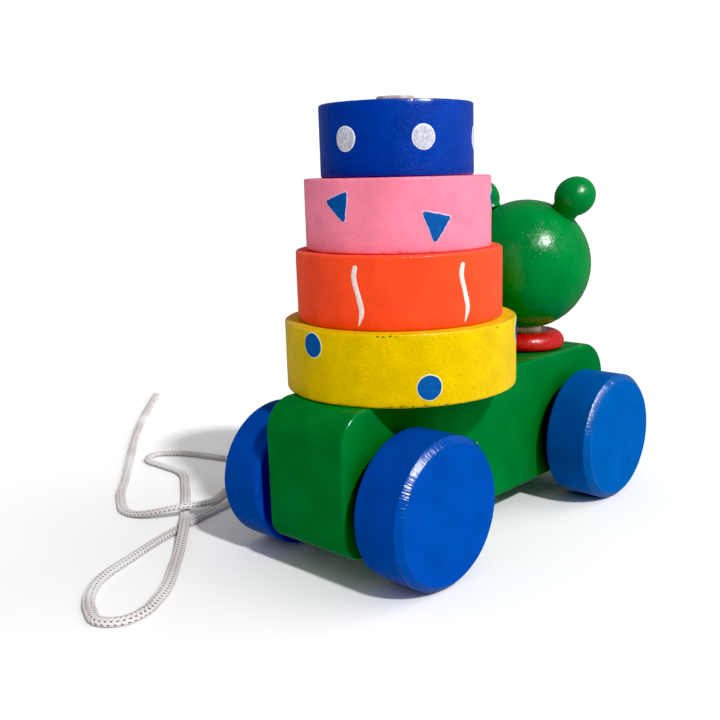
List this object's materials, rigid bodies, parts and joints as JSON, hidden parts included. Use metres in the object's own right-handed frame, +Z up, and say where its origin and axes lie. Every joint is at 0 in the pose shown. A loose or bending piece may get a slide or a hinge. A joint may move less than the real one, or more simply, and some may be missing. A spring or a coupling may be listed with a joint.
{
  "type": "pull along toy",
  "caption": "Wooden pull-along toy: a rounded block on big wheels, a peg with lift-off stacking rings, a ball head with two antennae, and a braided pull cord.",
  "frame": {"origin": "on the floor, midway along the toy's length and width; the pull cord is not counted", "axes": "+X towards the head (the front), +Y to the toy's left, +Z up"},
  "size_m": [0.2436, 0.3034, 0.1545],
  "materials": {
    "green_paint": "satin paint on wood",
    "wheel_blue_paint": "satin paint on wood",
    "ring_yellow_paint": "thin satin paint on pitted wood",
    "ring_orange_paint": "thin satin paint on pitted wood",
    "ring_pink_paint": "thin satin paint on pitted wood",
    "ring_blue_paint": "thin satin paint on pitted wood",
    "red_paint": "gloss paint on wood",
    "bare_wood": "bare sanded wood",
    "braided_cord": "silver grey braided synthetic cord"
  },
  "bodies": {
    "chassis": {"chassis_block": "green_paint", "stacking_peg": "bare_wood", "neck_dowel": "bare_wood", "collar_bead": "red_paint", "head_ball": "green_paint", "antenna_left": "green_paint", "antenna_right": "green_paint", "antenna_pin_left": "bare_wood", "antenna_pin_right": "bare_wood", "cord_knot": "braided_cord", "pull_cord": "braided_cord"},
    "rear_wheelset": {"rear_axle": "bare_wood", "wheel_rear_left": "wheel_blue_paint", "wheel_rear_right": "wheel_blue_paint"},
    "front_wheelset": {"front_axle": "bare_wood", "wheel_front_left": "wheel_blue_paint", "wheel_front_right": "wheel_blue_paint"},
    "yellow": {"ring_yellow": "ring_yellow_paint"},
    "orange": {"ring_orange": "ring_orange_paint"},
    "pink": {"ring_pink": "ring_pink_paint"},
    "blue": {"ring_blue": "ring_blue_paint"}
  },
  "joints": [
    {"name": "rear_axle_spin", "type": "hinge", "parent": "chassis", "child": "rear_wheelset", "pos_m": [-0.0555, 0, 0.025], "axis": [0, 1, 0], "continuous": true},
    {"name": "front_axle_spin", "type": "hinge", "parent": "chassis", "child": "front_wheelset", "pos_m": [0.0525, 0, 0.025], "axis": [0, 1, 0], "continuous": true},
    {"name": "yellow_lift", "type": "slide", "parent": "chassis", "child": "yellow", "axis": [0, 0, 1], "range_m": [0, 0.1]},
    {"name": "orange_lift", "type": "slide", "parent": "yellow", "child": "orange", "axis": [0, 0, 1], "range_m": [0, 0.078]},
    {"name": "pink_lift", "type": "slide", "parent": "orange", "child": "pink", "axis": [0, 0, 1], "range_m": [0, 0.055]},
    {"name": "blue_lift", "type": "slide", "parent": "pink", "child": "blue", "axis": [0, 0, 1], "range_m": [0, 0.03]}
  ]
}
